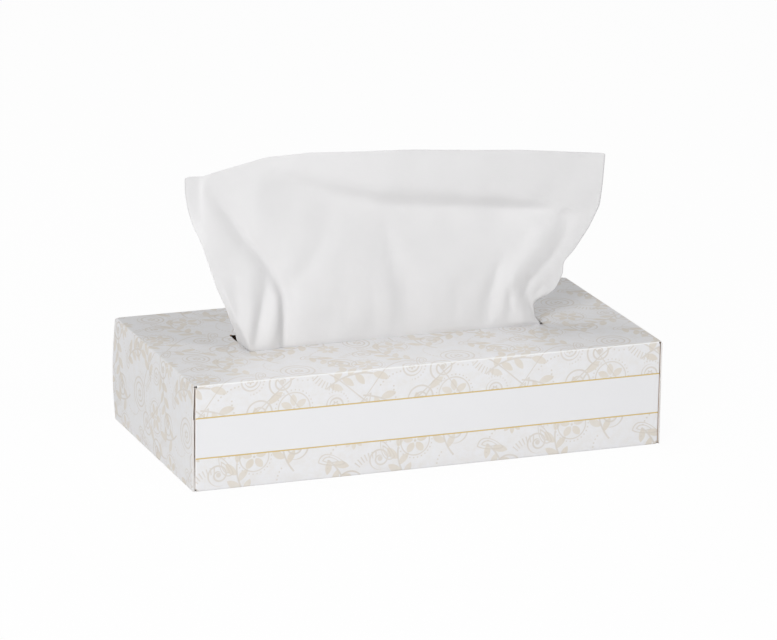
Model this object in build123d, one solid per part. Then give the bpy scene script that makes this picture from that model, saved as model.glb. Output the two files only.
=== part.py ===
"""Flat facial-tissue box, with its first tissue pulled half way out.

One blank of paperboard is folded into a tube and closed at each end by four flaps, all glued. It
holds a stack of interfolded tissues. The panel over the dispensing opening has been torn out along
its perforations, and the first tissue is gathered in the opening.

Millimetres, +Z up. The origin is the middle of the carton's underside, +X runs along the box, and
-Y faces its front panel.
"""

import os

from build123d import *

# Carton, outside sizes, and its board.
LENGTH = 230.0
DEPTH = 116.0
HEIGHT = 50.0
BOARD = 0.4
FOLD_RADIUS = 0.75
GLUE = 0.08
CORNER_RELIEF = 0.35

# Dispensing opening in the top panel.
OPENING_LENGTH = 147.0
OPENING_WIDTH = 29.0
OPENING_CORNER = 1.5

# Nicks of board left along the opening's torn edge, where its cut line was bridged.
NICK_PITCH = 7.0
NICK_WIDTH = 0.8
NICK_DEPTH = 0.35

# Flaps: how far each reaches from its crease, and the space kept at a free edge.
SEAM_FLAP = 16.0
SEAM_FLAP_END_GAP = 2.0
DUST_FLAP = 42.0
LOWER_END_FLAP = 34.0
FLAP_EDGE_GAP = 0.15

# Adhesive lines.
SEAM_GLUE_WIDTH = 7.0
SEAM_GLUE_END_GAP = 10.0
END_GLUE_WIDTH = 6.0
END_GLUE_LENGTH = 22.0
END_GLUE_SPACING = 64.0

# Stack of folded tissues, as the space left around it in the carton.
STACK_END_GAP = 9.0
STACK_SIDE_GAP = 5.5
STACK_HEADROOM = 12.0
STACK_EDGE_RADIUS = 5.0

# First tissue, as the space that the gathered sheet takes up.
TISSUE_RISE = 89.0
NECK_END_GAP = 0.6
NECK_FRONT_GAP = 0.5
NECK_THICKNESS = 13.5
SPREAD_THICKNESS = 26.0
TOP_THICKNESS = 20.0
TISSUE_CORNER = 4.0
TAIL_THICKNESS = 2.0
TAIL_DEPTH = 84.0
TAIL_END_GAP = 2.0

LAYER = BOARD + GLUE
END_X = LENGTH / 2
LOWER_END_X = END_X - LAYER
DUST_X = LOWER_END_X - LAYER
FRONT_Y = -DEPTH / 2
BACK_Y = DEPTH / 2
SEAM_Y = BACK_Y - LAYER
INSIDE_END_X = DUST_X - BOARD
STACK_LENGTH = 2 * (INSIDE_END_X - STACK_END_GAP)
STACK_DEPTH = DEPTH - 2 * (BOARD + STACK_SIDE_GAP)
STACK_TOP = HEIGHT - BOARD - STACK_HEADROOM


def block(x, y, z):
    """A block between two places along each axis."""
    centre = [sum(pair) / 2 for pair in (x, y, z)]
    size = [abs(pair[1] - pair[0]) for pair in (x, y, z)]
    return Pos(*centre) * Box(*size)


def crease(axis, span, centre, towards):
    """A quarter turn of board along an axis, about a centre, in the quadrant that towards names."""
    across = [name for name in "XYZ" if name != axis]
    place = dict(zip(across, centre))
    turn = {"X": Rot(0, 90, 0), "Y": Rot(90, 0, 0), "Z": Rot(0, 0, 0)}[axis]
    length = span[1] - span[0]
    middle = {axis: (span[0] + span[1]) / 2, **place}
    where = Pos(middle["X"], middle["Y"], middle["Z"])
    ring = Cylinder(FOLD_RADIUS, length) - Cylinder(FOLD_RADIUS - BOARD, 2 * length)
    ends = {name: at + way * FOLD_RADIUS for name, at, way in zip(across, centre, towards)}
    sides = {name: (place[name], ends[name]) for name in across}
    sides[axis] = span
    return where * turn * ring & block(sides["X"], sides["Y"], sides["Z"])


def both_ends(solids):
    """The pieces of the +X end, with their mirror images at the -X end."""
    return solids + [mirror(solid, about=Plane.YZ) for solid in solids]


def make_tube():
    """Top, front, bottom and back panels, with the seam flap glued inside the back panel."""
    reach = DUST_X - FOLD_RADIUS
    outside = Rectangle(DEPTH, HEIGHT)
    outside = fillet(outside.vertices(), FOLD_RADIUS)
    inside = Rectangle(DEPTH - 2 * BOARD, HEIGHT - 2 * BOARD)
    inside = fillet(inside.vertices(), FOLD_RADIUS - BOARD)
    plane = Plane(origin=(-reach, 0, HEIGHT / 2), x_dir=(0, 1, 0), z_dir=(1, 0, 0))
    tube = extrude(plane * (outside - inside), 2 * reach)
    seam_crease_y = SEAM_Y - FOLD_RADIUS
    tube -= block((-END_X, END_X), (seam_crease_y, BACK_Y), (0, FOLD_RADIUS))
    tube += crease("X", (-reach, reach), (seam_crease_y, FOLD_RADIUS), (1, -1))
    seam_reach = reach - SEAM_FLAP_END_GAP
    tube += block((-seam_reach, seam_reach), (SEAM_Y - BOARD, SEAM_Y), (FOLD_RADIUS, SEAM_FLAP))
    return tube


def make_end_flaps():
    """The four flaps of the +X end: two dust flaps, the lower flap over them, the outer flap last."""
    edge_y = DEPTH / 2 - FOLD_RADIUS - CORNER_RELIEF
    side_z = (FOLD_RADIUS + CORNER_RELIEF, HEIGHT - FOLD_RADIUS - CORNER_RELIEF)
    tube_end = DUST_X - FOLD_RADIUS
    flaps = []
    for way in (-1, 1):
        crease_y = way * (DEPTH / 2 - FOLD_RADIUS)
        tip_y = way * (DEPTH / 2 - DUST_FLAP)
        flaps.append(crease("Z", side_z, (tube_end, crease_y), (1, way)))
        flaps.append(block((DUST_X - BOARD, DUST_X), (crease_y, tip_y), side_z))
    lower_crease_x = LOWER_END_X - FOLD_RADIUS
    lower_y = (-edge_y, SEAM_Y - FOLD_RADIUS - CORNER_RELIEF)
    flaps.append(block((tube_end, lower_crease_x), lower_y, (0, BOARD)))
    flaps.append(crease("Y", lower_y, (lower_crease_x, FOLD_RADIUS), (1, -1)))
    flap_y = (FRONT_Y + FLAP_EDGE_GAP, BACK_Y - FLAP_EDGE_GAP)
    lower_flap_z = (FOLD_RADIUS, LOWER_END_FLAP)
    flaps.append(block((LOWER_END_X - BOARD, LOWER_END_X), flap_y, lower_flap_z))
    outer_crease_x = END_X - FOLD_RADIUS
    outer_crease_z = HEIGHT - FOLD_RADIUS
    outer_y = (-edge_y, edge_y)
    flaps.append(block((tube_end, outer_crease_x), outer_y, (HEIGHT - BOARD, HEIGHT)))
    flaps.append(crease("Y", outer_y, (outer_crease_x, outer_crease_z), (1, 1)))
    flaps.append(block((END_X - BOARD, END_X), flap_y, (FLAP_EDGE_GAP, outer_crease_z)))
    return flaps


def nick_places(length):
    """Places of the nicks along one edge of the opening, centred and clear of its corners."""
    count = int((length - 2 * OPENING_CORNER - NICK_WIDTH) / NICK_PITCH)
    return [NICK_PITCH * (index - count / 2) for index in range(count + 1)]


def make_opening():
    """Outline of the torn-out panel, with the nicks left standing in from its edge."""
    opening = Rectangle(OPENING_LENGTH, OPENING_WIDTH)
    opening = fillet(opening.vertices(), OPENING_CORNER)
    inner_length = OPENING_LENGTH - NICK_DEPTH
    inner_width = OPENING_WIDTH - NICK_DEPTH
    for way in (-1, 1):
        for x in nick_places(OPENING_LENGTH):
            opening -= Pos(x, way * inner_width / 2) * Rectangle(NICK_WIDTH, NICK_DEPTH)
        for y in nick_places(OPENING_WIDTH):
            opening -= Pos(way * inner_length / 2, y) * Rectangle(NICK_DEPTH, NICK_WIDTH)
    return opening


def make_carton():
    """The folded blank, with the dispensing opening torn out of its top panel."""
    carton = make_tube()
    for flap in both_ends(make_end_flaps()):
        carton += flap
    return carton - extrude(Pos(0, 0, HEIGHT) * make_opening(), BOARD, both=True)


def make_seam_glue():
    """The line of adhesive between the seam flap and the back panel."""
    reach = DUST_X - FOLD_RADIUS - SEAM_GLUE_END_GAP
    middle = (FOLD_RADIUS + SEAM_FLAP) / 2
    height = (middle - SEAM_GLUE_WIDTH / 2, middle + SEAM_GLUE_WIDTH / 2)
    return block((-reach, reach), (SEAM_Y, BACK_Y - BOARD), height)


def make_end_glue():
    """Upright lines of adhesive at the +X end, in both spaces between its three layers of flaps."""
    middle = LOWER_END_FLAP / 2
    height = (middle - END_GLUE_LENGTH / 2, middle + END_GLUE_LENGTH / 2)
    lines = []
    for way in (-1, 1):
        centre = way * END_GLUE_SPACING / 2
        across = (centre - END_GLUE_WIDTH / 2, centre + END_GLUE_WIDTH / 2)
        for face in (DUST_X, LOWER_END_X):
            lines.append(block((face, face + GLUE), across, height))
    return lines


def make_stack():
    """The interfolded tissues, with their folded long edges rounded."""
    half_length = STACK_LENGTH / 2
    half_depth = STACK_DEPTH / 2
    stack = block((-half_length, half_length), (-half_depth, half_depth), (BOARD, STACK_TOP))
    return fillet(stack.edges().filter_by(Axis.X), STACK_EDGE_RADIUS)


def make_top_tissue():
    """The first tissue: its tail on the stack, its neck in the opening, and its spread upper half."""
    neck_length = OPENING_LENGTH - 2 * (NICK_DEPTH + NECK_END_GAP)
    neck_y = NICK_DEPTH + NECK_FRONT_GAP + (NECK_THICKNESS - OPENING_WIDTH) / 2
    tail_top = STACK_TOP + TAIL_THICKNESS
    tail_reach = STACK_LENGTH / 2 - TAIL_END_GAP
    tail = block((-tail_reach, tail_reach), (-TAIL_DEPTH / 2, TAIL_DEPTH / 2), (STACK_TOP, tail_top))
    spread = STACK_LENGTH - neck_length
    levels = [
        (tail_top, neck_length, NECK_THICKNESS),
        (HEIGHT + BOARD, neck_length, NECK_THICKNESS),
        (HEIGHT + 0.3 * TISSUE_RISE, neck_length + 0.5 * spread, SPREAD_THICKNESS),
        (HEIGHT + 0.6 * TISSUE_RISE, neck_length + 0.97 * spread, SPREAD_THICKNESS),
        (HEIGHT + TISSUE_RISE, STACK_LENGTH, TOP_THICKNESS),
    ]
    sections = [Pos(0, neck_y, z) * RectangleRounded(w, d, TISSUE_CORNER) for z, w, d in levels]
    return tail + loft(sections, ruled=True)


def main():
    """Write each piece to its own STEP file."""
    end_glue = make_end_glue()
    pieces = {
        "carton": make_carton(),
        "seam_glue": make_seam_glue(),
        "right_end_glue": Compound(children=end_glue),
        "left_end_glue": Compound(children=[mirror(line, about=Plane.YZ) for line in end_glue]),
        "tissue_stack": make_stack(),
        "top_tissue": make_top_tissue(),
    }
    os.makedirs("parts", exist_ok=True)
    for name, piece in pieces.items():
        export_step(piece, f"parts/{name}.step")


main()
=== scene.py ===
"""Looks of a flat tissue box whose first tissue has been pulled half way out.

Metres, +Z up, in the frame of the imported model: the origin is the middle of the carton's underside,
+X runs along the box and -Y faces its front panel.
"""

import math

import bmesh
import bpy
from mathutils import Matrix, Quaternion, Vector, noise


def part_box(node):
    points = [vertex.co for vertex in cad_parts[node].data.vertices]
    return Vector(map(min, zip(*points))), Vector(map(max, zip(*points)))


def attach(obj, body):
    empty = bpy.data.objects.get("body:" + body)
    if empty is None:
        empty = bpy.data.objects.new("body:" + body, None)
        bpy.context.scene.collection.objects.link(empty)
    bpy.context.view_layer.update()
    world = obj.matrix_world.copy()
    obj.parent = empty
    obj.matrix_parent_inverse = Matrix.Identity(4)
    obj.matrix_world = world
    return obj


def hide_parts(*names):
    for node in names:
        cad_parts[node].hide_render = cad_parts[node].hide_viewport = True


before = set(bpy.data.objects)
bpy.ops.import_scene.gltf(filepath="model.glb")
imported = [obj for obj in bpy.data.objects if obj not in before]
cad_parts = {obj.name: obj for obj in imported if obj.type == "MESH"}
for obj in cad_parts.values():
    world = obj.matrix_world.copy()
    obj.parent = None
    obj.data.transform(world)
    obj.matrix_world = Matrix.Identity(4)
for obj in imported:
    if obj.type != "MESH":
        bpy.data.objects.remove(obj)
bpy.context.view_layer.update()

MM = 0.001
# The board's thickness, and that of the board with its glue.
BOARD = 0.4 * MM
LAYER = 0.48 * MM
OPENING_LENGTH = 147 * MM
OPENING_WIDTH = 29 * MM
CARTON_LOW, CARTON_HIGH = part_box("carton")
STACK_LOW, STACK_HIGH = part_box("tissue_stack")
LENGTH = CARTON_HIGH.x - CARTON_LOW.x
DEPTH = CARTON_HIGH.y - CARTON_LOW.y
HEIGHT = CARTON_HIGH.z

# ---------------------------------------------------------------------------------------------
# Shader building
# ---------------------------------------------------------------------------------------------


class Wire:
    """A value that runs between the nodes of a tree. An expression on wires adds Math nodes."""

    def __init__(self, nodes, socket):
        self.nodes = nodes
        self.socket = socket

    def math(self, operation, *others, clamp=False):
        settings = {"operation": operation, "use_clamp": clamp}
        return self.nodes.node("ShaderNodeMath", settings, (self, *others))

    def __add__(self, other):
        return self.math("ADD", other)

    def __sub__(self, other):
        return self.math("SUBTRACT", other)

    def __rsub__(self, other):
        return self.nodes.node("ShaderNodeMath", {"operation": "SUBTRACT"}, (other, self))

    def __mul__(self, other):
        return self.math("MULTIPLY", other)

    def __truediv__(self, other):
        return self.math("DIVIDE", other)

    def __lt__(self, other):
        return self.math("LESS_THAN", other)

    def __abs__(self):
        return self.math("ABSOLUTE")


class Nodes:
    """The node tree of a finish or of the world."""

    def __init__(self, owner):
        owner.use_nodes = True
        self.tree = owner.node_tree

    def node(self, kind, settings, inputs, output=0):
        """Adds a node, sets it up and feeds it, and gives one of its outputs."""
        made = self.tree.nodes.new(kind)
        for setting, value in settings.items():
            setattr(made, setting, value)
        places = inputs.items() if isinstance(inputs, dict) else enumerate(inputs)
        for place, value in places:
            self.feed(made.inputs[place], value)
        return Wire(self, made.outputs[output])

    def feed(self, socket, value):
        if isinstance(value, Wire):
            self.tree.links.new(value.socket, socket)
        else:
            socket.default_value = value


class Finish(Nodes):
    """A material made of nodes round one Principled shader."""

    def __init__(self, name, **surface):
        self.material = bpy.data.materials.new(name)
        super().__init__(self.material)
        self.shader = self.tree.nodes["Principled BSDF"]
        self.surface(**surface)

    def surface(self, **inputs):
        for socket, value in inputs.items():
            self.feed(self.shader.inputs[socket.replace("_", " ")], value)

    def mix(self, factor, first, second):
        """From the first colour to the second as the factor goes from 0 to 1."""
        return self.node("ShaderNodeMix", {"data_type": "RGBA"}, {0: factor, 6: first, 7: second}, 2)

    def place(self):
        """The point on the piece, in metres."""
        return self.node("ShaderNodeTexCoord", {}, (), "Object")

    def uv(self, name):
        return self.node("ShaderNodeUVMap", {"uv_map": name}, ())

    def scaled(self, vector, scale):
        return self.node("ShaderNodeVectorMath", {"operation": "MULTIPLY"}, (vector, scale))

    def noise(self, vector, scale, detail=2.0, roughness=0.5):
        inputs = {"Vector": vector, "Scale": scale, "Detail": detail, "Roughness": roughness}
        return self.node("ShaderNodeTexNoise", {}, inputs)

    def split(self, vector):
        made = self.node("ShaderNodeSeparateXYZ", {}, (vector,))
        outputs = made.socket.node.outputs
        return [Wire(self, outputs[axis]) for axis in ("X", "Y", "Z")]

    def bump(self, height, distance, strength):
        inputs = {"Height": height, "Distance": distance, "Strength": strength}
        return self.node("ShaderNodeBump", {}, inputs)


def both(first, second):
    return first.math("MAXIMUM", second)


def within(distance, soft=0.3):
    """1 where the distance is below zero and 0 where it is above, across a soft ink edge."""
    return distance.math("MULTIPLY_ADD", -1 / soft, 0.5, clamp=True)


def reach_of(x, y):
    """How far a point is from the origin of its motif."""
    flat = x.nodes.node("ShaderNodeCombineXYZ", {}, (x, y))
    return x.nodes.node("ShaderNodeVectorMath", {"operation": "LENGTH"}, (flat,), "Value")


# ---------------------------------------------------------------------------------------------
# Printed pattern of scrolls, sprigs and daisies. Its sizes are millimetres on the flat blank.
# ---------------------------------------------------------------------------------------------

REPEAT_LENGTH = 78.0
REPEAT_WIDTH = 67.0
STEM = 0.80
HAIRLINE = 0.55


def seen_from(finish, point, at, turn):
    """x and y of a point as a motif sees it that stands at a place in the repeat, turned."""
    subtract = {"operation": "SUBTRACT"}
    half = (REPEAT_LENGTH / 2, REPEAT_WIDTH / 2, 1.0)
    offset = finish.node("ShaderNodeVectorMath", subtract, (point, (at[0], at[1], 0.0)))
    low = tuple(-side for side in half)
    wrapped = finish.node("ShaderNodeVectorMath", {"operation": "WRAP"}, (offset, half, low))
    turned = {"Vector": wrapped, "Angle": -math.radians(turn)}
    return finish.split(finish.node("ShaderNodeVectorRotate", {"rotation_type": "Z_AXIS"}, turned))[:2]


def leaf(x, y, length, width):
    """Distance outside a pointed leaf that starts at the origin and lies along x."""
    radius = (length**2 + width**2) / (4 * width)
    return reach_of(x - length / 2, abs(y) + (radius - width / 2)) - radius


def leaning(x, y, lean):
    """x and y in axes that are turned by an angle in degrees."""
    angle = math.radians(lean)
    along = x * math.cos(angle) + y * math.sin(angle)
    across = y * math.cos(angle) - x * math.sin(angle)
    return along, across


def bent(x, y, radius):
    """Length along, and distance off, a stem that curves with a radius through the origin."""
    from_centre = y + radius
    along = x.math("ARCTAN2", from_centre) * radius
    return along, reach_of(x, from_centre) - radius


def sprig_leaves(x, y, radius, half_length, pitch=6.6, length=7.4, width=3.3, lean=46):
    """Leaves to each side of a curved stem in turn, and one at its tip."""
    along, aside = bent(x, y, radius)
    shifted = along + (aside < 0) * (pitch / 2)
    cell = shifted.math("WRAP", pitch - 1.0, -1.0)
    whole = (abs(shifted - cell) < half_length - pitch / 2)
    side_leaf = within(leaf(*leaning(cell, abs(aside), lean), length, width)) * whole
    tip_leaf = leaf(along - half_length, aside, length * 1.15, width * 1.05)
    return both(side_leaf, within(tip_leaf))


def stem(x, y, radius, half_length):
    """A curved hairline."""
    along, aside = bent(x, y, radius)
    return within(both(abs(aside) - STEM / 2, abs(along) - half_length))


def scroll(x, y, pitch, reach, way):
    """A spiral hairline round a lobed rosette, with half a ring of dots outside it."""
    radius = reach_of(x, y)
    angle = y.math("ARCTAN2", x)
    arm = radius / pitch - angle * (way / (2 * math.pi))
    line = abs(arm.math("WRAP", 0.5, -0.5)) * pitch - STEM / 2
    spiral = both(both(line, radius - reach), 1.35 * pitch - radius)
    lobes = (angle * 6).math("COSINE") * 0.4
    rosette = both(radius - 0.8 * pitch - lobes, 0.32 * pitch - radius)
    dots = 26
    step = math.pi / dots
    cell = angle.math("WRAP", step, -step) * (reach + 1.6)
    dot = both(reach_of(cell, radius - (reach + 1.6)) - 0.42, y * way)
    return both(both(within(spiral), within(rosette)), within(dot) * 0.7)


def tendril(x, y, pitch, reach, way):
    """An open spiral line that ends in a round bud."""
    radius = reach_of(x, y)
    arm = radius / pitch - y.math("ARCTAN2", x) * (way / (2 * math.pi))
    line = abs(arm.math("WRAP", 0.5, -0.5)) * pitch - STEM / 2
    spiral = both(both(line, radius - reach), pitch * 0.5 - radius)
    return both(within(spiral), within(radius - pitch * 0.42))


def daisy(x, y, petals, length, width):
    """Pointed petals round an open middle."""
    radius = reach_of(x, y)
    step = math.pi / petals
    cell = y.math("ARCTAN2", x).math("WRAP", step, -step)
    petal = leaf(radius * cell.math("COSINE") - 1.1, radius * cell.math("SINE"), length, width)
    return within(petal)


def rings(x, y, radius):
    """A hairline circle with a ring of dots outside it and a dot in the middle."""
    reach = reach_of(x, y)
    dots = round(2 * math.pi * (radius + 1.3) / 1.9)
    step = math.pi / dots
    cell = y.math("ARCTAN2", x).math("WRAP", step, -step) * (radius + 1.3)
    dot = reach_of(cell, reach - (radius + 1.3)) - 0.34
    circle = abs(reach - radius) - HAIRLINE / 2
    return both(both(within(dot), within(circle)), within(reach - 0.6))


def teardrop(x, y, length, width):
    """Two drop outlines, one inside the other, along a bent middle line."""
    across = y + x * x * (0.6 / length)
    outer = leaf(x, across, length, width)
    inner = leaf(x - length * 0.2, across, length * 0.58, width * 0.5)
    return both(within(abs(outer) - HAIRLINE / 2), within(abs(inner) - HAIRLINE / 2))


def comb(x, y, radius, half_length, pitch=1.7, reach=1.7):
    """A curved row of short strokes."""
    along, aside = bent(x, y, radius)
    stroke = both(abs(along.math("WRAP", pitch / 2, -pitch / 2)) - HAIRLINE / 2, abs(aside) - reach)
    return within(both(stroke, abs(along) - half_length))


def beads(x, y, radius, half_length, pitch=1.9, size=0.42):
    """A curved row of dots."""
    along, aside = bent(x, y, radius)
    dot = reach_of(along.math("WRAP", pitch / 2, -pitch / 2), aside) - size
    return within(dot) * (abs(along) < half_length)


def vine(finish, point, swing, shift):
    """A wavy hairline that runs through every repeat along the box."""
    x, y, _ = finish.split(point)
    wave = (x * (2 * math.pi / REPEAT_LENGTH) + shift).math("SINE") * swing
    offset = (y - wave).math("WRAP", REPEAT_WIDTH / 2, -REPEAT_WIDTH / 2)
    return within(abs(offset) - STEM / 2)


def laid_out(finish, point, motifs, ink=None):
    """Motifs, each with its place in the repeat, its turn and its sizes, over an ink if one is given."""
    for motif, at, turn, sizes in motifs:
        laid = motif(*seen_from(finish, point, at, turn), *sizes)
        ink = both(ink, laid) if ink else laid
    return ink


def printed_pattern(finish, point):
    """How much of the soft fill, and of the line ink, lies at a point of the blank."""
    sprigs = [
        ((37, 7), 14, (26, 12)),
        ((34, 27), -64, (22, 10)),
        ((64, 26), 118, (20, 12)),
        ((24, 49), 206, (28, 13)),
        ((73, 56), 78, (19, 9)),
        ((7, 38), 112, (24, 8)),
        ((53, 62), -22, (30, 9)),
    ]
    daisies = [
        (daisy, (49, 17), 10, (7, 5.2, 2.6)),
        (daisy, (11, 61), 35, (6, 5.8, 3.2)),
        (daisy, (40, 44), 0, (8, 4.4, 2.2)),
        (daisy, (70, 40), 20, (5, 5.4, 3.4)),
    ]
    lines = [
        (scroll, (16, 17), 15, (2.5, 8.6, 1)),
        (scroll, (56, 49), 200, (2.2, 6.8, -1)),
        (scroll, (68, 9), 90, (1.9, 5.0, 1)),
        (scroll, (31, 61), -60, (1.9, 4.6, -1)),
        (tendril, (38, 22), 40, (3.4, 7.6, -1)),
        (tendril, (5, 7), 190, (3.0, 6.6, 1)),
        (tendril, (73, 60), 120, (3.2, 7.0, 1)),
        (tendril, (12, 43), -30, (3.0, 6.4, -1)),
        (tendril, (53, 33), 260, (2.8, 5.4, 1)),
        (tendril, (37, 52), 70, (2.8, 5.4, -1)),
        (rings, (49, 17), 0, (7.0,)),
        (rings, (11, 61), 0, (7.6,)),
        (rings, (70, 40), 0, (7.0,)),
        (teardrop, (23, 34), 25, (11.0, 6.0)),
        (teardrop, (60, 33), 160, (9.5, 5.2)),
        (teardrop, (75, 20), -75, (10.0, 5.4)),
        (teardrop, (44, 55), 100, (9.0, 4.8)),
        (comb, (46, 34), 25, (12, 6)),
        (comb, (2, 50), -70, (9, 5)),
        (comb, (25, 4), 150, (14, 6)),
        (beads, (29, 38), 60, (12, 8)),
        (beads, (61, 60), 120, (14, 8)),
        (beads, (3, 26), 95, (10, 8)),
        (beads, (57, 5), 30, (15, 7)),
    ]
    stems = [(stem, at, turn, sizes) for at, turn, sizes in sprigs]
    leaves = [(sprig_leaves, at, turn, sizes) for at, turn, sizes in sprigs]
    vines = both(vine(finish, point, 11.0, 0.0), vine(finish, point, 17.0, 2.4))
    return laid_out(finish, point, leaves + daisies), laid_out(finish, point, stems + lines, vines)


# ---------------------------------------------------------------------------------------------
# Finishes
# ---------------------------------------------------------------------------------------------

WHITE_BOARD = (0.80, 0.80, 0.815, 1)
FILL_INK = (0.70, 0.645, 0.565, 1)
LINE_INK = (0.655, 0.61, 0.555, 1)
# Paler than the bare board: ink worn off at the top folds, and a painted highlight along them.
FOLD_WEAR_AND_HIGHLIGHT = (0.90, 0.90, 0.90, 1)
GOLD_INK = (0.62, 0.45, 0.13, 1)
# The heights of the bare band's edges, and the width of the gold lines, in millimetres.
BAND_EDGES = (15.6, 34.6)
GOLD_LINE = 0.62
KRAFT_DARK, KRAFT_PALE = (0.46, 0.28, 0.16, 1), (0.66, 0.45, 0.29, 1)
CORE_DARK, CORE_PALE = (0.72, 0.70, 0.68, 1), (0.83, 0.82, 0.81, 1)
PACK_SHADE, PACK_WHITE = (0.76, 0.76, 0.77, 1), (0.80, 0.80, 0.81, 1)
TISSUE_SHADE, TISSUE_WHITE = (0.745, 0.74, 0.745, 1), (0.775, 0.77, 0.775, 1)
GLUE_DARK, GLUE_PALE = (0.62, 0.54, 0.38, 1), (0.80, 0.75, 0.62, 1)


def printed_board():
    """Clay-coated board with its pale pattern. A band between two gold lines round the sides' middle,
    and the underside, are bare.
    """
    finish = Finish("printed board", Specular_IOR_Level=0.45)
    blank = finish.uv("blank")
    _, across, _ = finish.split(blank)
    fold = DEPTH / 2 / MM
    height = HEIGHT / MM
    drop = abs(across) - fold
    middle = height - sum(BAND_EDGES) / 2
    half = (BAND_EDGES[1] - BAND_EDGES[0]) / 2
    off_band = abs(drop - middle) - half
    band = within(off_band)
    gold = within(abs(off_band) - GOLD_LINE / 2, 0.12)
    bare = both(band, within(height - 0.2 - drop))
    fill, lines = printed_pattern(finish, blank)
    cloud = finish.noise(blank, 0.07, 3.0, 0.7)
    shown = (1 - bare) * (cloud * 0.9 + 0.30)
    veil = (1 - bare) * finish.noise(blank, 0.25, 4.0, 0.7).math("MULTIPLY_ADD", 3.0, -1.2, clamp=True)
    colour = finish.mix(veil * 0.28, WHITE_BOARD, FILL_INK)
    colour = finish.mix(fill * shown, colour, FILL_INK)
    colour = finish.mix(lines * shown, colour, LINE_INK)
    # Along the top folds: worn ink, and a painted highlight line paler than the bare board.
    worn_and_highlit = within(abs(drop) - 0.45, 0.5) * (finish.noise(blank, 0.5, 3.0) * 0.8 + 0.3)
    colour = finish.mix(worn_and_highlit, colour, FOLD_WEAR_AND_HIGHLIGHT)
    colour = finish.mix(gold * 0.92, colour, GOLD_INK)
    grain = finish.noise(finish.place(), 900.0, 2.0)
    sheen = finish.noise(finish.place(), 60.0, 2.0) * 0.08 + 0.30
    finish.surface(Base_Color=colour, Roughness=sheen, Normal=finish.bump(grain, 0.00003, 0.5))
    return finish.material


def brown_board():
    """The unbleached inside of the board."""
    finish = Finish("brown board", Roughness=0.85, Specular_IOR_Level=0.2)
    place = finish.place()
    fibres = finish.noise(finish.scaled(place, (220.0, 1100.0, 700.0)), 1.0, 4.0, 0.65)
    colour = finish.mix(fibres, KRAFT_DARK, KRAFT_PALE)
    finish.surface(Base_Color=colour, Normal=finish.bump(fibres, 0.00005, 0.6))
    return finish.material


def cut_edge():
    """The pale torn core of the board, seen at its cut edges."""
    finish = Finish("cut board edge", Roughness=0.9, Specular_IOR_Level=0.2)
    fibres = finish.noise(finish.place(), 2500.0, 3.0, 0.6)
    colour = finish.mix(fibres, CORE_DARK, CORE_PALE)
    finish.surface(Base_Color=colour, Normal=finish.bump(fibres, 0.00006, 0.6))
    return finish.material


def crepe(name, shade, white):
    """Soft two-ply tissue: fine crepe lines across the sheet, and a little cloud in its white."""
    finish = Finish(name, Roughness=0.95, Specular_IOR_Level=0.12, Sheen_Weight=0.25, Sheen_Roughness=0.6)
    sheet = finish.uv("sheet")
    lines = finish.noise(finish.scaled(sheet, (260.0, 2600.0, 1.0)), 1.0, 3.0, 0.6)
    clouds = finish.noise(finish.scaled(sheet, (90.0, 90.0, 1.0)), 1.0, 4.0, 0.6)
    height = lines * 0.7 + clouds * 0.5
    finish.surface(
        Base_Color=finish.mix(clouds, shade, white),
        Normal=finish.bump(height, 0.00012, 0.45),
    )
    return finish.material


def dried_glue():
    """Pale tan adhesive, a little cloudy."""
    finish = Finish("dried glue", Roughness=0.35)
    film = finish.noise(finish.place(), 400.0, 3.0)
    finish.surface(Base_Color=finish.mix(film, GLUE_DARK, GLUE_PALE))
    return finish.material


# ---------------------------------------------------------------------------------------------
# Piece helpers
# ---------------------------------------------------------------------------------------------


def finished_piece(name, shape, materials, replaced):
    """Makes an object of a bmesh, on the root body, in place of a CAD node."""
    mesh = bpy.data.meshes.new(name)
    shape.to_mesh(mesh)
    shape.free()
    piece = bpy.data.objects.new(name, mesh)
    bpy.context.collection.objects.link(piece)
    for material in materials:
        mesh.materials.append(material)
    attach(piece, "root")
    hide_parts(replaced)
    return piece


def smooth_step(low, high, value):
    """0 below low and 1 above high, and a smooth rise between them."""
    share = min(1.0, max(0.0, (value - low) / (high - low)))
    return share * share * (3 - 2 * share)


def between(first, second, share):
    return first + (second - first) * share


# ---------------------------------------------------------------------------------------------
# Carton
# ---------------------------------------------------------------------------------------------

NEAR = 0.004 * MM
GRID = 7 * MM
# How far each end bows out at its front and its back corner.
LEFT_BOW = (0.6 * MM, 1.3 * MM)
RIGHT_BOW = (0, 0.8 * MM)
PANEL_WAVE = 0.22 * MM
# How far in from its edges a panel is held flat by the folds: the top and bottom panels at their
# ends and at their long sides, and the front and back panels at their ends.
END_HOLD, SIDE_HOLD = 22 * MM, 18 * MM
PANEL_HOLD = 30 * MM
# How far the front lip of the opening is lifted at its middle, and how far that spreads.
LIP_RISE, LIP_SPREAD = 0.8 * MM, 9 * MM
# The height of the lower end flaps, and how far the outer ones end short of the front panel.
LOWER_FLAP = 34 * MM
FLAP_SETBACK = 0.15 * MM


def on(value, *levels):
    return any(abs(value - level) < NEAR for level in levels)


PRINTED, PLAIN, CUT = range(3)


def side_across(place, outward, layers):
    """The side that a flat face is on, from the outer planes of the layers that lie there."""
    if on(place, *layers) and outward > 0:
        return PRINTED
    return PLAIN if on(place, *(layer - BOARD for layer in layers)) and outward < 0 else CUT


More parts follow.
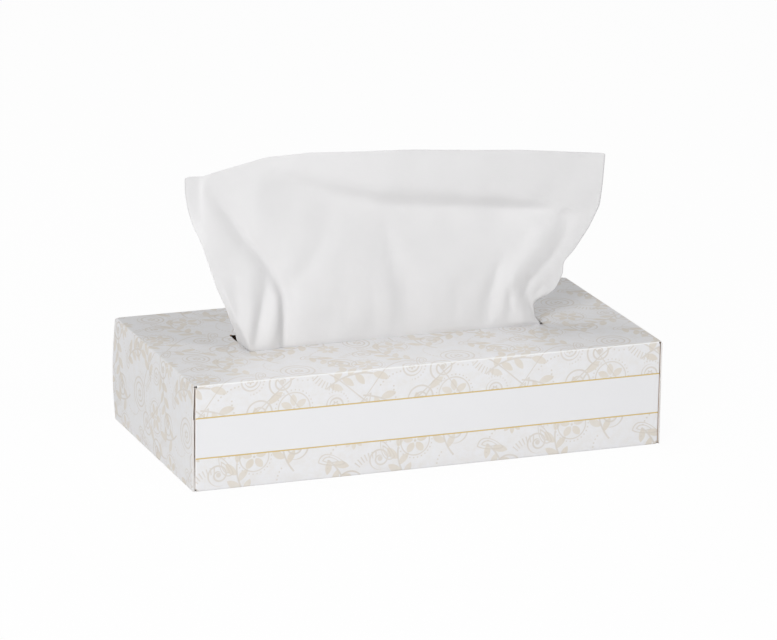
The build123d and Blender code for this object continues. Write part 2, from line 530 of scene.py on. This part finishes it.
def board_side(face):
    """Which side of the blank a face is on: the printed one, the plain one or a cut edge."""
    middle = face.calc_center_median()
    normal = face.normal
    end, side = LENGTH / 2, DEPTH / 2
    x, y, z = abs(middle.x), abs(middle.y), middle.z
    outward = (normal.x * middle.x, normal.y * middle.y, normal.z * (z - HEIGHT / 2))
    if abs(normal.x) > 0.999:
        return side_across(x, outward[0], (end, end - LAYER, end - 2 * LAYER))
    if abs(normal.y) > 0.999:
        return side_across(y, outward[1], (side, side - LAYER) if middle.y > 0 else (side,))
    if abs(normal.z) > 0.999:
        return side_across(abs(z - HEIGHT / 2), outward[2], (HEIGHT / 2,))
    return PRINTED if sum(outward) > 0 else PLAIN


def unfold(face, point):
    """Where a point of the printed side lies on the flat blank, in millimetres."""
    drop = HEIGHT - point.z
    x, y = point.x, point.y
    if face.normal.z < -0.9:
        y = -(DEPTH / 2 + HEIGHT) - (y + DEPTH / 2)
    elif abs(face.normal.x) > max(0.02, abs(face.normal.y)):
        x += math.copysign(drop, x)
    elif abs(face.normal.y) > 0.02:
        y += math.copysign(drop, y)
    return x / MM, y / MM


def lip_rise(x):
    """How far the front lip of the opening is lifted at a place along the box."""
    return LIP_RISE * max(0.0, 1 - (2 * x / OPENING_LENGTH) ** 2)


def bowed(point):
    """Where the board has moved to, from the straight carton: bowed ends, panels and front lip."""
    x, y, z = point
    rise = math.sin(math.pi * min(1.0, max(0.0, z / HEIGHT)))
    across = y / DEPTH + 0.5
    if abs(x) > LENGTH / 2 - 2 * LAYER + NEAR:
        bow = between(*(LEFT_BOW if x < 0 else RIGHT_BOW), across) * rise
        x += math.copysign(bow, x)
    # The free edge of the right outer flap is thickened where no lower flap lies under it.
    if on(x, LENGTH / 2 - BOARD) and on(y, FLAP_SETBACK - DEPTH / 2):
        x -= LAYER * smooth_step(LOWER_FLAP, LOWER_FLAP + 3 * MM, z)
    inner = smooth_step(0, END_HOLD, LENGTH / 2 - abs(x)) * smooth_step(0, SIDE_HOLD, DEPTH / 2 - abs(y))
    if z > HEIGHT - 2 * BOARD:
        wave = noise.noise(Vector((x * 22, y * 26, 3.0)))
        z += PANEL_WAVE * wave * inner
        z += lip_rise(x) * math.exp(-(((y + OPENING_WIDTH / 2) / LIP_SPREAD) ** 2)) * (y < 0)
    if abs(y) > DEPTH / 2 - 2 * LAYER + NEAR and abs(x) < LENGTH / 2 - 3 * LAYER:
        along = smooth_step(0, PANEL_HOLD, LENGTH / 2 - abs(x))
        wave = 0.6 + noise.noise(Vector((x * 18, 7.0, z * 20)))
        y += math.copysign(PANEL_WAVE * 1.5 * wave * rise * along, y)
    return Vector((x, y, z))


def make_carton(materials):
    """The folded board from the CAD model, cut into a fine grid and given its slight bows."""
    shape = bmesh.new()
    shape.from_mesh(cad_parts["carton"].data)
    bmesh.ops.remove_doubles(shape, verts=shape.verts, dist=NEAR / 4)
    flat = math.radians(0.5)
    bmesh.ops.dissolve_limit(shape, angle_limit=flat, verts=shape.verts, edges=shape.edges, delimit=set())
    for axis, reach in enumerate((LENGTH / 2, DEPTH / 2, HEIGHT)):
        steps = int(reach / GRID)
        for step in range(-steps, steps + 1):
            place = Vector((0, 0, 0))
            place[axis] = (step + 0.31) * GRID
            direction = Vector((0, 0, 0))
            direction[axis] = 1
            geometry = shape.verts[:] + shape.edges[:] + shape.faces[:]
            bmesh.ops.bisect_plane(shape, geom=geometry, dist=NEAR / 4, plane_co=place, plane_no=direction)
    blank = shape.loops.layers.uv.new("blank")
    for face in shape.faces:
        face.material_index = board_side(face)
        face.smooth = True
        for loop in face.loops:
            loop[blank].uv = unfold(face, loop.vert.co)
    for vertex in shape.verts:
        vertex.co = bowed(vertex.co)
    piece = finished_piece("folded_carton", shape, materials, "carton")
    piece.data.set_sharp_from_angle(angle=math.radians(40))
    weighted = piece.modifiers.new("flat panels", "WEIGHTED_NORMAL")
    weighted.keep_sharp = True
    return piece


# ---------------------------------------------------------------------------------------------
# Stack of tissues
# ---------------------------------------------------------------------------------------------

FOLDS = 30
ROUND_STEPS = 5
STACK_STEPS = 44
# The scale of how far the folds stand in from a straight side, and of how far the top has settled.
FOLD_SLACK, SETTLED = 1.1 * MM, 0.9 * MM


def make_stack(material):
    """The interfolded pack: rows of rounded folds up both long sides, gently uneven along them."""
    half_depth = (STACK_HIGH.y - STACK_LOW.y) / 2
    height = STACK_HIGH.z - STACK_LOW.z
    fold = height / FOLDS
    outline = []
    for way in (1, -1):
        for index in range(FOLDS):
            level = index if way > 0 else FOLDS - 1 - index
            for part in range(ROUND_STEPS):
                angle = math.pi * (part + 0.5) / ROUND_STEPS - math.pi / 2
                side = half_depth - fold * 0.5 + fold * 0.5 * math.cos(angle)
                up = STACK_LOW.z + fold * (level + 0.5 + 0.5 * way * math.sin(angle))
                outline.append((way * side, up))
    shape = bmesh.new()
    ring = [shape.verts.new((STACK_LOW.x, y, z)) for y, z in outline]
    first = shape.faces.new(ring)
    step = (STACK_HIGH.x - STACK_LOW.x) / STACK_STEPS
    front = bmesh.ops.extrude_face_region(shape, geom=[first])["geom"]
    moved = [item for item in front if isinstance(item, bmesh.types.BMVert)]
    bmesh.ops.translate(shape, verts=moved, vec=(step * STACK_STEPS, 0, 0))
    for index in range(1, STACK_STEPS):
        place = (STACK_LOW.x + step * index, 0, 0)
        geometry = shape.verts[:] + shape.edges[:] + shape.faces[:]
        bmesh.ops.bisect_plane(shape, geom=geometry, dist=NEAR / 4, plane_co=place, plane_no=(1, 0, 0))
    for vertex in shape.verts:
        x, y, z = vertex.co
        level = (z - STACK_LOW.z) / height
        slack = noise.noise(Vector((x * 30, level * FOLDS * 0.7, math.copysign(5.0, y))))
        vertex.co.y -= math.copysign((0.6 + slack) * FOLD_SLACK, y)
        vertex.co.z -= level * (0.5 + noise.noise(Vector((x * 25, y * 25, 2.0)))) * SETTLED
    sheet = shape.loops.layers.uv.new("sheet")
    bmesh.ops.recalc_face_normals(shape, faces=shape.faces)
    for face in shape.faces:
        face.smooth = True
        for loop in face.loops:
            loop[sheet].uv = (loop.vert.co.x, loop.vert.co.y + loop.vert.co.z)
    piece = finished_piece("tissue_pack", shape, [material], "tissue_stack")
    piece.data.set_sharp_from_angle(angle=math.radians(60))
    return piece


# ---------------------------------------------------------------------------------------------
# First tissue. Along is the place across the sheet's width, in millimetres from its middle, and
# up is the length of sheet above the opening.
# ---------------------------------------------------------------------------------------------

SHEET_WIDTH = 209.0
SHEET_LENGTH = 200.0
# The neck hangs below the opening. Under it the tail lies on the pack, back from a place in y and
# forward again, its two layers at their heights over the pack.
NECK_DROP = 9.0
TAIL_FRONT, TAIL_REACH = -10.0, 46.0
TAIL_HEIGHTS = (1.5, 0.7)
OPENING_LEVEL = HEIGHT / MM
OPENING_EDGE = -OPENING_WIDTH / MM / 2
# The length of sheet above the opening, and the rows and columns of the mesh. Most rows stand there.
SHEET_SHOWN = 88.4
SHEET_COLUMNS = 106
SHEET_ROWS = 98
ROWS_SHOWN = 0.64
SMOOTHINGS = 2
TISSUE_THICKNESS = 0.12 * MM

# Outline of the sheet's side edges, in x, y and z from the opening to the top corners.
LEFT_EDGE = [
    (-73.0, 1.0, 50.0), (-74.8, 0.5, 51.8), (-76.4, -4.0, 55.5), (-80.8, -9.0, 63.5), (-84.3, -11.5, 71.5),
    (-88.6, -12.0, 80.5), (-92.0, -11.0, 91.0), (-94.9, -9.0, 101.0), (-97.4, -6.0, 107.5),
    (-98.8, -1.0, 114.4), (-98.7, 4.0, 121.5), (-97.4, 9.0, 128.5),
]
RIGHT_EDGE = [
    (73.0, -1.0, 50.0), (72.4, -4.0, 56.1), (70.8, -9.0, 60.5), (75.4, -12.0, 64.2), (79.1, -13.0, 66.6),
    (81.1, -14.0, 70.3), (82.7, -14.0, 74.0), (82.9, -14.0, 79.4), (88.4, -14.0, 84.8), (95.7, -14.0, 95.4),
    (101.0, -14.0, 105.6), (101.8, -14.0, 112.8), (103.3, -14.0, 130.6),
]
# Outline of the sheet's top edge in x and z.
TOP_EDGE = [
    (-97.4, 128.5), (-94.1, 132.4), (-87.3, 134.0), (-75.2, 136.6), (-63.2, 139.2), (-41.3, 140.6),
    (2.1, 139.7), (61.3, 135.4), (103.3, 130.6),
]
# How much of the sheet, and of x, turns back at each end: in the opening and at the top.
LEFT_TURN = ((13.0, 0.6), (11.0, 4.4))
RIGHT_TURN = ((13.0, 5.0), (1.0, 1.0))
TURN_IN_OPENING = 0.8
# The part of the sheet between the pleats, which stands in the opening at its full width.
FLAT_LEFT, FLAT_RIGHT = -50.0, 47.0
# How far the sheet leans back over this height, from its middle rightwards and at the left, and the
# place in x where the left's lean is full.
LEAN_HEIGHT = 88
LEAN_MIDDLE, LEAN_LEFT = 3.5, 9.5
LEAN_FULL = -75
# How far the sheet stands behind that edge inside the opening, and in front of it just above.
BEHIND_EDGE, OVER_EDGE = 0.7, 0.8

# The front panel stands forward of the sheet above it and to its right. This is the line of points,
# in x and z, of the step between them, with its depth and half its width there.
SHOULDER = [
    (50, 106, 0, 5), (64, 105, 0.6, 4.8), (73, 104, 1, 4.8), (78.5, 101, 1.2, 5),
    (79.5, 96, 1.2, 5), (75.5, 88, 1.1, 4.6), (68, 79.5, 1, 3.8), (62, 71, 1, 2.8),
    (60, 64, 0.5, 2.4), (60, 50, 0, 2.4),
]
# Folds drawn on the standing sheet. Each is a line of points: x, z, how far the sheet is pushed back
# there (less than nothing where it stands forward) and the fold's width. Before the line come how
# much wider the fold is on its left, looking along the line, and how round it is.
CREASED, SOFT = 1.15, 2.0
FOLDS_DRAWN = [
    # The long valley from the top left corner down to the pleats.
    (0.3, CREASED, [(-89, 124, 0.8, 3), (-82, 114, 2.6, 4.4), (-73, 101, 4, 5.2), (-62, 88, 4.6, 4.8),
                    (-56, 75, 5, 3.6), (-55.5, 64, 5.4, 2.8), (-56.2, 50, 3.2, 2.4)]),
    # The broad valley under the sheet's top edge, steep above and gentle below.
    (-0.55, SOFT, [(-66, 129, 0.2, 9), (-50, 125.5, 2.8, 11), (-30, 118, 5.6, 13),
                   (-5, 111.6, 7, 14.5), (21, 108.6, 7, 15), (53, 105.8, 7, 12),
                   (68, 104.5, 5, 9), (77, 104, 1.6, 7)]),
    # The valley at the foot of the step, where it turns down.
    (0, CREASED, [(82, 104, 0.6, 4), (84.5, 99, 0.8, 3.4), (83, 91, 0.9, 3), (78, 83.5, 1, 2.6),
                    (71.5, 77, 1.2, 2.2), (66, 71.5, 1.2, 1.8), (63.5, 66, 0.5, 1.6)]),
    # The rim of the front panel at the right.
    (0, SOFT, [(55, 101, -0.2, 5), (67, 99.5, -1.2, 4), (70, 94, -1.4, 4), (64, 85, -1.4, 4),
                 (57, 76, -1.4, 3.4), (52.5, 68, -1.2, 3), (50, 56, -0.8, 2.6)]),
    # Shallow valleys in the front panel.
    (0.3, SOFT, [(-4.8, 106, 0.1, 2.6), (-4, 97, 0.8, 3.4), (-1.2, 82, 1.6, 5.6), (2.1, 68, 1.8, 6.6),
                 (2.5, 57, 0.6, 6.6)]),
    (0, SOFT, [(-30, 105, 0.2, 5), (-34, 99, 0.6, 5), (-41, 92, 0.9, 5), (-48, 84, 0.9, 4.2),
                 (-51, 79, 0.5, 3.6)]),
    (-0.4, SOFT, [(52.8, 84, 0.2, 1.6), (49.8, 77, 1.4, 2.4), (46.8, 67, 2, 2.8), (45.2, 56, 0.8, 3)]),
    # Pleats above the left end of the opening.
    (0.2, CREASED, [(-64.5, 92, 0.2, 3), (-64.6, 80, 1.6, 3), (-66.3, 70, 2.8, 2.4), (-69, 60, 2.4, 2),
                    (-70.5, 53, 1, 1.8)]),
    (0, SOFT, [(-80.5, 86, 0.3, 2.6), (-80, 76, 1.1, 2.6), (-78.5, 65, 0.8, 2.2), (-77, 56, 0.3, 2.2)]),
    (0, SOFT, [(-60.5, 86, -0.3, 3), (-60, 72, -1.4, 2.8), (-62, 60, -1.6, 3), (-64, 53, -0.8, 2.8)]),
    (0, SOFT, [(-72.5, 84, -0.4, 3.4), (-72.6, 70, -1.2, 3.2), (-74, 57, -0.8, 2.6)]),
    # The crumpled knot above the right end of the opening.
    (0, SOFT, [(57.5, 70, -0.8, 4), (58.5, 62, -2.2, 5), (61, 54, -1.8, 5)]),
    (0, CREASED, [(54.6, 69, 0.4, 1.2), (55, 63, 1.2, 1.1), (57, 57, 0.6, 1.1)]),
    (0, CREASED, [(61, 68, 0.4, 1.2), (64.5, 64.5, 1.3, 1.1), (66.5, 59, 1.1, 1.1), (67.5, 54, 0.4, 1.1)]),
    (0, CREASED, [(72, 69, 0.3, 1.6), (69.5, 65, 1.4, 1.4), (70.5, 60.5, 0.8, 1.2)]),
]


def edge_point(line, share):
    """The point of a side edge at a share of its height."""
    height = between(line[0][2], line[-1][2], share)
    for a, b in zip(line, line[1:]):
        if height <= b[2]:
            break
    part = (height - a[2]) / (b[2] - a[2])
    return [between(p, q, min(1.0, part)) for p, q in zip(a, b)]


def nearest(line, x, z):
    """How far a place is off a line, whether it lies on its left, and the two sizes given there."""
    best = None
    for a, b in zip(line, line[1:]):
        dx, dz = b[0] - a[0], b[1] - a[1]
        part = ((x - a[0]) * dx + (z - a[1]) * dz) / (dx * dx + dz * dz)
        part = min(1.0, max(0.0, part))
        away = math.hypot(x - a[0] - part * dx, z - a[1] - part * dz)
        if best is None or away < best[0]:
            on_left = dx * (z - a[1]) - dz * (x - a[0]) > 0
            best = (away, on_left, between(a[2], b[2], part), between(a[3], b[3], part))
    return best


def fold_push(x, z):
    """How far the shoulder and the folds push the sheet back at a place, in millimetres."""
    away, outside, depth, width = nearest(SHOULDER, x, z)
    push = depth * smooth_step(-width, width, away if outside else -away)
    for lean, roundness, line in FOLDS_DRAWN:
        away, on_left, depth, width = nearest(line, x, z)
        width *= 1 + lean if on_left else 1 - lean
        push += depth * math.exp(-((away / width) ** roundness))
    return push


def crossing(line, x):
    """The height of an outline above a place in x."""
    for (x0, z0), (x1, z1) in zip(line, line[1:]):
        if x <= x1:
            return between(z0, z1, max(0.0, (x - x0) / (x1 - x0)))
    return line[-1][1]


def spread_between(along, marks):
    """Where a place across the sheet comes, from pairs of place and x."""
    for (a0, x0), (a1, x1) in zip(marks, marks[1:]):
        if along <= a1:
            return between(x0, x1, (along - a0) / (a1 - a0))
    return marks[-1][1]


def front_of_sheet(x, z):
    """How far forward the sheet stands at a place, with its lean, its folds and its fine unevenness."""
    above = max(0.0, (z - OPENING_LEVEL - 2.5) / LEAN_HEIGHT)
    slant = between(LEAN_MIDDLE, LEAN_LEFT, smooth_step(0, LEAN_FULL, x))
    lean = OPENING_EDGE - OVER_EDGE + slant * above**1.3 - 0.025 * x * above
    over_lip = smooth_step(OPENING_LEVEL + 0.2, OPENING_LEVEL + 1.6, z)
    y = between(OPENING_EDGE + BEHIND_EDGE, lean, over_lip)
    soft = noise.noise(Vector((x / 15, 4.0, z / 15))) * 0.7
    gather = noise.noise(Vector((x / 3.2, 9.0, z / 26))) * 0.45 * (1 - smooth_step(0.0, 0.45, above))
    return y + (fold_push(x, z) + soft + gather) * over_lip


def standing_point(along, share):
    """A point of the sheet above the opening, by its place across and its share of the height."""
    half = SHEET_WIDTH / 2
    left, right = edge_point(LEFT_EDGE, share), edge_point(RIGHT_EDGE, share)
    turns = []
    for turn in (LEFT_TURN, RIGHT_TURN):
        turns.append([between(low, high, share) for low, high in zip(*turn)])
    (left_turn, _), (right_turn, _) = turns
    right_x = between(TURN_IN_OPENING, RIGHT_TURN[0][1], smooth_step(0.0, 0.05, share))
    base = spread_between(
        along,
        [
            (-half, LEFT_EDGE[0][0]),
            (-half + LEFT_TURN[0][0], LEFT_EDGE[0][0] + LEFT_TURN[0][1]),
            (FLAT_LEFT, FLAT_LEFT),
            (FLAT_RIGHT, FLAT_RIGHT),
            (half - RIGHT_TURN[0][0], RIGHT_EDGE[0][0] - right_x),
            (half, RIGHT_EDGE[0][0]),
        ],
    )
    top = spread_between(
        along,
        [
            (-half, LEFT_EDGE[-1][0]),
            (-half + LEFT_TURN[1][0], LEFT_EDGE[-1][0] + LEFT_TURN[1][1]),
            (half - RIGHT_TURN[1][0], RIGHT_EDGE[-1][0] - RIGHT_TURN[1][1]),
            (half, RIGHT_EDGE[-1][0]),
        ],
    )
    edge, now = (RIGHT_EDGE, right) if along > 0 else (LEFT_EDGE, left)
    opened = (now[0] - edge[0][0]) / (edge[-1][0] - edge[0][0])
    x = between(base, top, opened)
    z = between(OPENING_LEVEL + lip_rise(x * MM) / MM, crossing(TOP_EDGE, top), share)
    y = front_of_sheet(x, z)
    from_left = 1 - smooth_step(0, left_turn, along + half)
    from_right = 1 - smooth_step(0, max(right_turn, 0.5), half - along)
    y = between(y, left[1], from_left)
    y = between(y, right[1], from_right * (1 - smooth_step(58, 66, z)))
    return Vector((x, y, z))


def sheet_point(along, down):
    """A point of the sheet, by its place across and the length of sheet below the top edge."""
    up = SHEET_SHOWN - down
    if up >= 0:
        return standing_point(along, up / SHEET_SHOWN)
    x, y, z = standing_point(along, 0)
    fall = min(-up, NECK_DROP)
    z -= fall
    rest = -up - fall
    x = between(x, along * 0.985, smooth_step(0, 40, rest))
    lay = min(rest, 2 * TAIL_REACH - rest)
    y = between(y, TAIL_FRONT, smooth_step(0, 12, rest)) + lay * 0.96
    bed = STACK_HIGH.z / MM + TAIL_HEIGHTS[rest >= TAIL_REACH]
    z = between(z, bed, smooth_step(0, 10, rest))
    return Vector((x, y, z))


def make_top_tissue(material):
    """The first tissue: its tail folded on the pack, its neck in the opening, and its upper half."""
    shape = bmesh.new()
    bmesh.ops.create_grid(shape, x_segments=SHEET_COLUMNS, y_segments=SHEET_ROWS, size=0.5)
    rows = [(0, 0), (ROWS_SHOWN, SHEET_SHOWN), (1, SHEET_LENGTH)]
    for vertex in shape.verts:
        vertex.co.x *= SHEET_WIDTH
        vertex.co.y = spread_between(0.5 - vertex.co.y, rows)
    sheet = shape.loops.layers.uv.new("sheet")
    for face in shape.faces:
        face.smooth = True
        for loop in face.loops:
            loop[sheet].uv = (loop.vert.co.x * MM, loop.vert.co.y * MM)
    for vertex in shape.verts:
        vertex.co = sheet_point(vertex.co.x, vertex.co.y) * MM
    bmesh.ops.reverse_faces(shape, faces=shape.faces)
    for _ in range(SMOOTHINGS):
        bmesh.ops.smooth_vert(
            shape, verts=shape.verts, factor=0.35, use_axis_x=True, use_axis_y=True, use_axis_z=True
        )
    piece = finished_piece("pulled_tissue", shape, [material], "top_tissue")
    rounded = piece.modifiers.new("soft folds", "SUBSURF")
    rounded.levels = 1
    rounded.render_levels = 1
    ply = piece.modifiers.new("two plies", "SOLIDIFY")
    ply.thickness = TISSUE_THICKNESS
    ply.offset = 0
    return piece


# ---------------------------------------------------------------------------------------------
# Stage
# ---------------------------------------------------------------------------------------------


WHITE = (1, 1, 1, 1)
FLOOR_WHITE = (0.90, 0.90, 0.90, 1)
FLOOR_GLOW = 0.955
SKY_STRENGTH = 0.315
# Each softbox with its place, the point it looks at, its diameter and its power.
SOFTBOXES = [
    ("key softbox", (-1.3, -1.6, 1.0), (0, 0, 0.06), 0.9, 26.5),
    ("front softbox", (0.75, -1.3, 1.5), (0, 0, 0.06), 0.5, 6),
    ("top softbox", (-0.4, 0.4, 1.8), (0, 0, 0.05), 1.2, 9.5),
]
CAMERA_PLACE = (-0.75571, -1.95796, 0.66792)
CAMERA_VIEW = Vector((0.34581647, 0.89539059, -0.28051141))
CAMERA_ROLL = 0.912
LENS = 216.7


def make_floor():
    """A plain pale floor that shows near white to the camera and still takes a soft shadow."""
    shape = bmesh.new()
    bmesh.ops.create_grid(shape, x_segments=2, y_segments=2, size=30)
    mesh = bpy.data.meshes.new("floor")
    shape.to_mesh(mesh)
    shape.free()
    floor = bpy.data.objects.new("floor", mesh)
    bpy.context.collection.objects.link(floor)
    finish = Finish("pale floor", Base_Color=FLOOR_WHITE, Roughness=0.9)
    white = finish.node("ShaderNodeEmission", {}, {"Color": WHITE, "Strength": 1.0})
    to_camera = finish.node("ShaderNodeLightPath", {}, (), "Is Camera Ray")
    body = Wire(finish, finish.shader.outputs[0])
    mixed = finish.node("ShaderNodeMixShader", {}, (to_camera * FLOOR_GLOW, body, white))
    finish.feed(finish.tree.nodes["Material Output"].inputs["Surface"], mixed)
    mesh.materials.append(finish.material)


def make_softbox(name, place, aim, size, power):
    """A round soft light that looks at the box."""
    light = bpy.data.lights.new(name, "AREA")
    light.shape = "DISK"
    light.size = size
    light.energy = power
    lamp = bpy.data.objects.new(name, light)
    lamp.location = place
    lamp.rotation_mode = "QUATERNION"
    lamp.rotation_quaternion = (Vector(aim) - Vector(place)).to_track_quat("-Z", "Y")
    bpy.context.collection.objects.link(lamp)


def make_world():
    """A pale sky that lights the box softly and is white to the camera."""
    world = bpy.data.worlds.new("studio")
    nodes = Nodes(world)
    sky = nodes.node("ShaderNodeBackground", {}, {"Color": WHITE, "Strength": SKY_STRENGTH})
    seen = nodes.node("ShaderNodeBackground", {}, {"Color": WHITE, "Strength": 1.0})
    to_camera = nodes.node("ShaderNodeLightPath", {}, (), "Is Camera Ray")
    mixed = nodes.node("ShaderNodeMixShader", {}, (to_camera, sky, seen))
    nodes.feed(nodes.tree.nodes["World Output"].inputs["Surface"], mixed)
    bpy.context.scene.world = world


def make_camera():
    """A long lens from the box's front left, a little above it."""
    data = bpy.data.cameras.new("camera")
    data.lens = LENS
    data.sensor_width = 36
    data.clip_start = 0.1
    data.clip_end = 100
    camera = bpy.data.objects.new("camera", data)
    camera.location = CAMERA_PLACE
    camera.rotation_mode = "QUATERNION"
    roll = Quaternion((0, 0, 1), math.radians(CAMERA_ROLL))
    camera.rotation_quaternion = CAMERA_VIEW.to_track_quat("-Z", "Y") @ roll
    bpy.context.collection.objects.link(camera)
    bpy.context.scene.camera = camera


def main():
    bpy.context.scene.view_settings.view_transform = "Standard"
    make_carton([printed_board(), brown_board(), cut_edge()])
    make_stack(crepe("stacked tissue", PACK_SHADE, PACK_WHITE))
    make_top_tissue(crepe("pulled tissue", TISSUE_SHADE, TISSUE_WHITE))
    glue = dried_glue()
    for node in ("seam_glue", "left_end_glue", "right_end_glue"):
        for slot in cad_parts[node].material_slots:
            slot.material = glue
    make_floor()
    make_world()
    for softbox in SOFTBOXES:
        make_softbox(*softbox)
    make_camera()


main()
